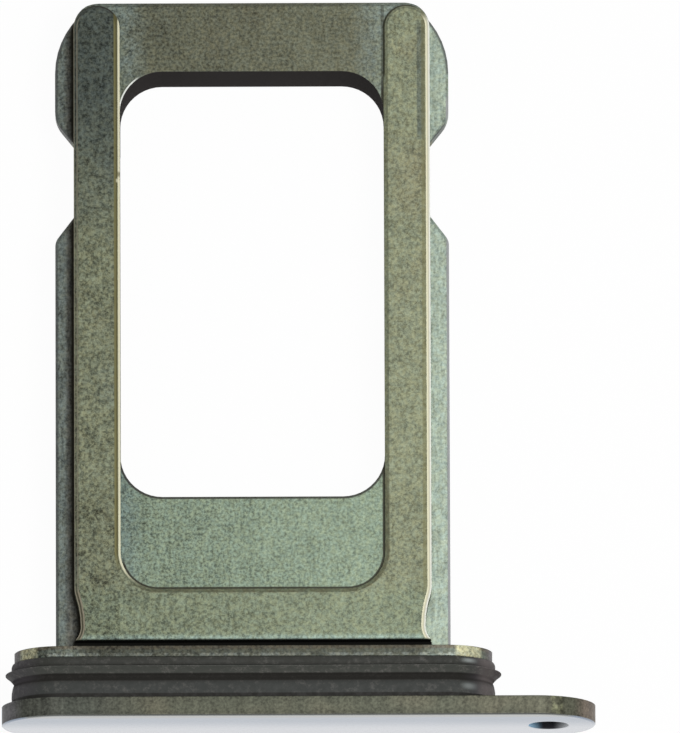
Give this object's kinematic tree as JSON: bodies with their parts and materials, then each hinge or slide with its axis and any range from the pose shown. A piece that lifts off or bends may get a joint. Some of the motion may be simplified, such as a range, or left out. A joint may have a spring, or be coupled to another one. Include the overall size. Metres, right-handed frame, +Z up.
{
  "type": "sim card tray",
  "caption": "Slim metal card tray with a window, side rails, latch notches, a lipped rubber seal round its neck and a pill-shaped cap with an eject hole.",
  "frame": {"origin": "the middle of the cap's outer face", "axes": "+Y points into the phone, along the tray; +Z is up, towards the contact side; -Y is the cap's outward normal; +X is towards the eject hole"},
  "size_m": [0.0158, 0.0195, 0.0032],
  "materials": {
    "anodised_metal": "fine satin, anodised dark olive green",
    "seal_rubber": "matt dark grey rubber",
    "cap_metal": "anodised, with a smooth polished outer face"
  },
  "bodies": {
    "root": {"tray_frame": "anodised_metal", "seal_gasket": "seal_rubber", "face_cap": "cap_metal"}
  },
  "joints": []
}
